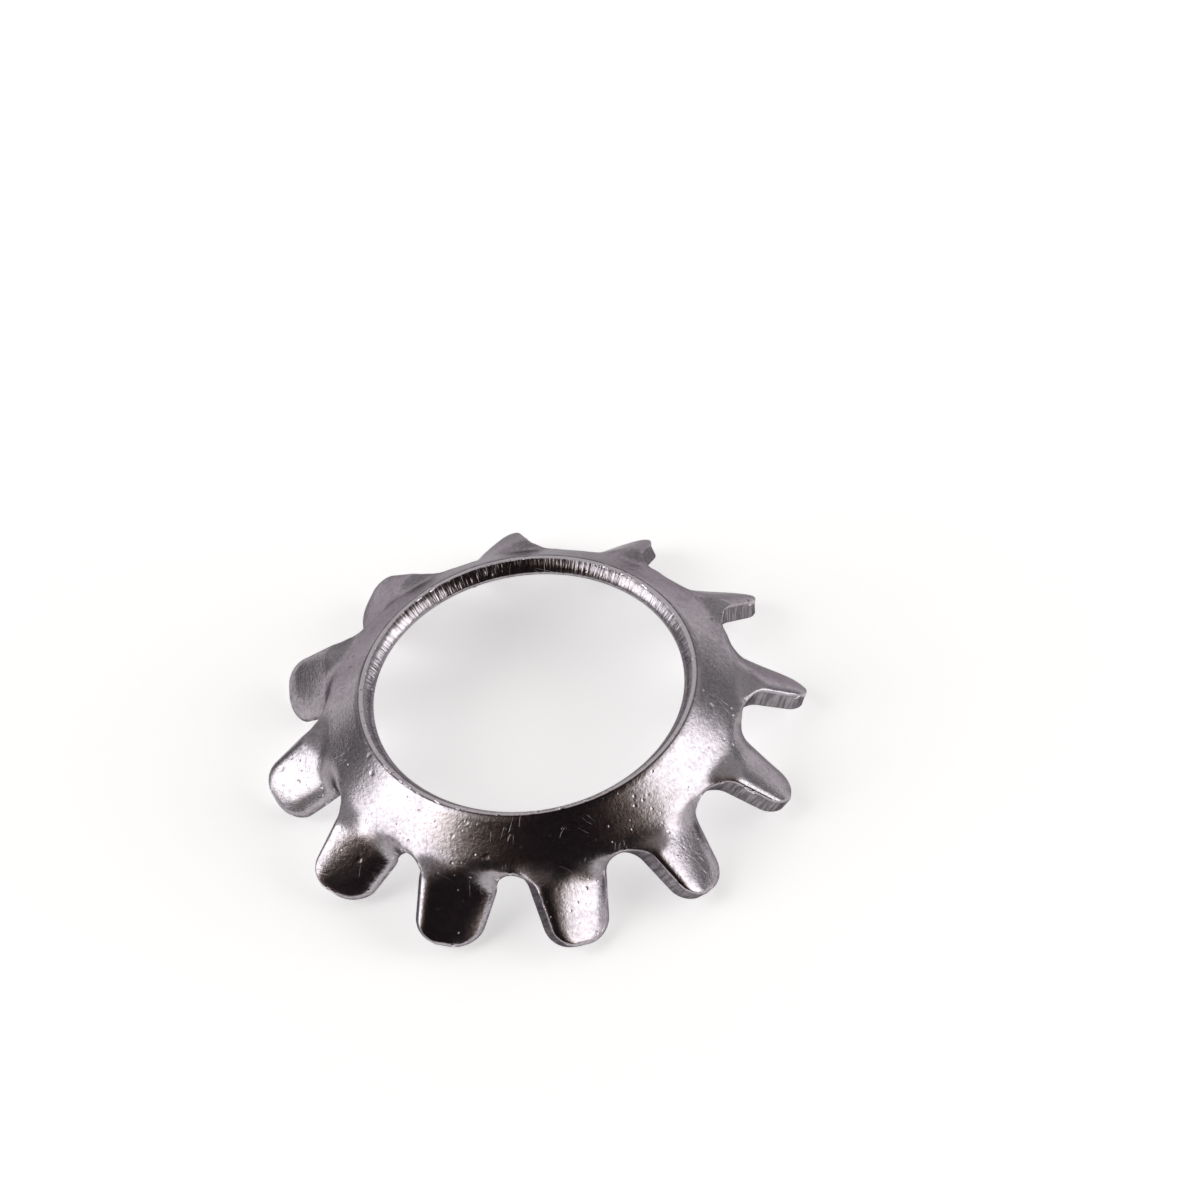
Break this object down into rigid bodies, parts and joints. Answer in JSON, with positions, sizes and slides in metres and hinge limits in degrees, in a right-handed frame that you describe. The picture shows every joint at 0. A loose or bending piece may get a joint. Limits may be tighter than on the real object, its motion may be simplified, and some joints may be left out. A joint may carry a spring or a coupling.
{
  "type": "toothed lock washer",
  "caption": "Dished steel lock washer with leaning external teeth, clamped under a bolt head to keep it from turning loose.",
  "frame": {"origin": "on the washer's axis, in the plane that its tooth corners stand on", "axes": "+Z along the bolt, from the toothed end to the bore; one tooth is centred on +X"},
  "size_m": [0.0112, 0.0112, 0.0022],
  "materials": {
    "tumbled_steel": "tumbled, satin, lightly scratched"
  },
  "bodies": {
    "root": {"lock_washer": "tumbled_steel"}
  },
  "joints": []
}
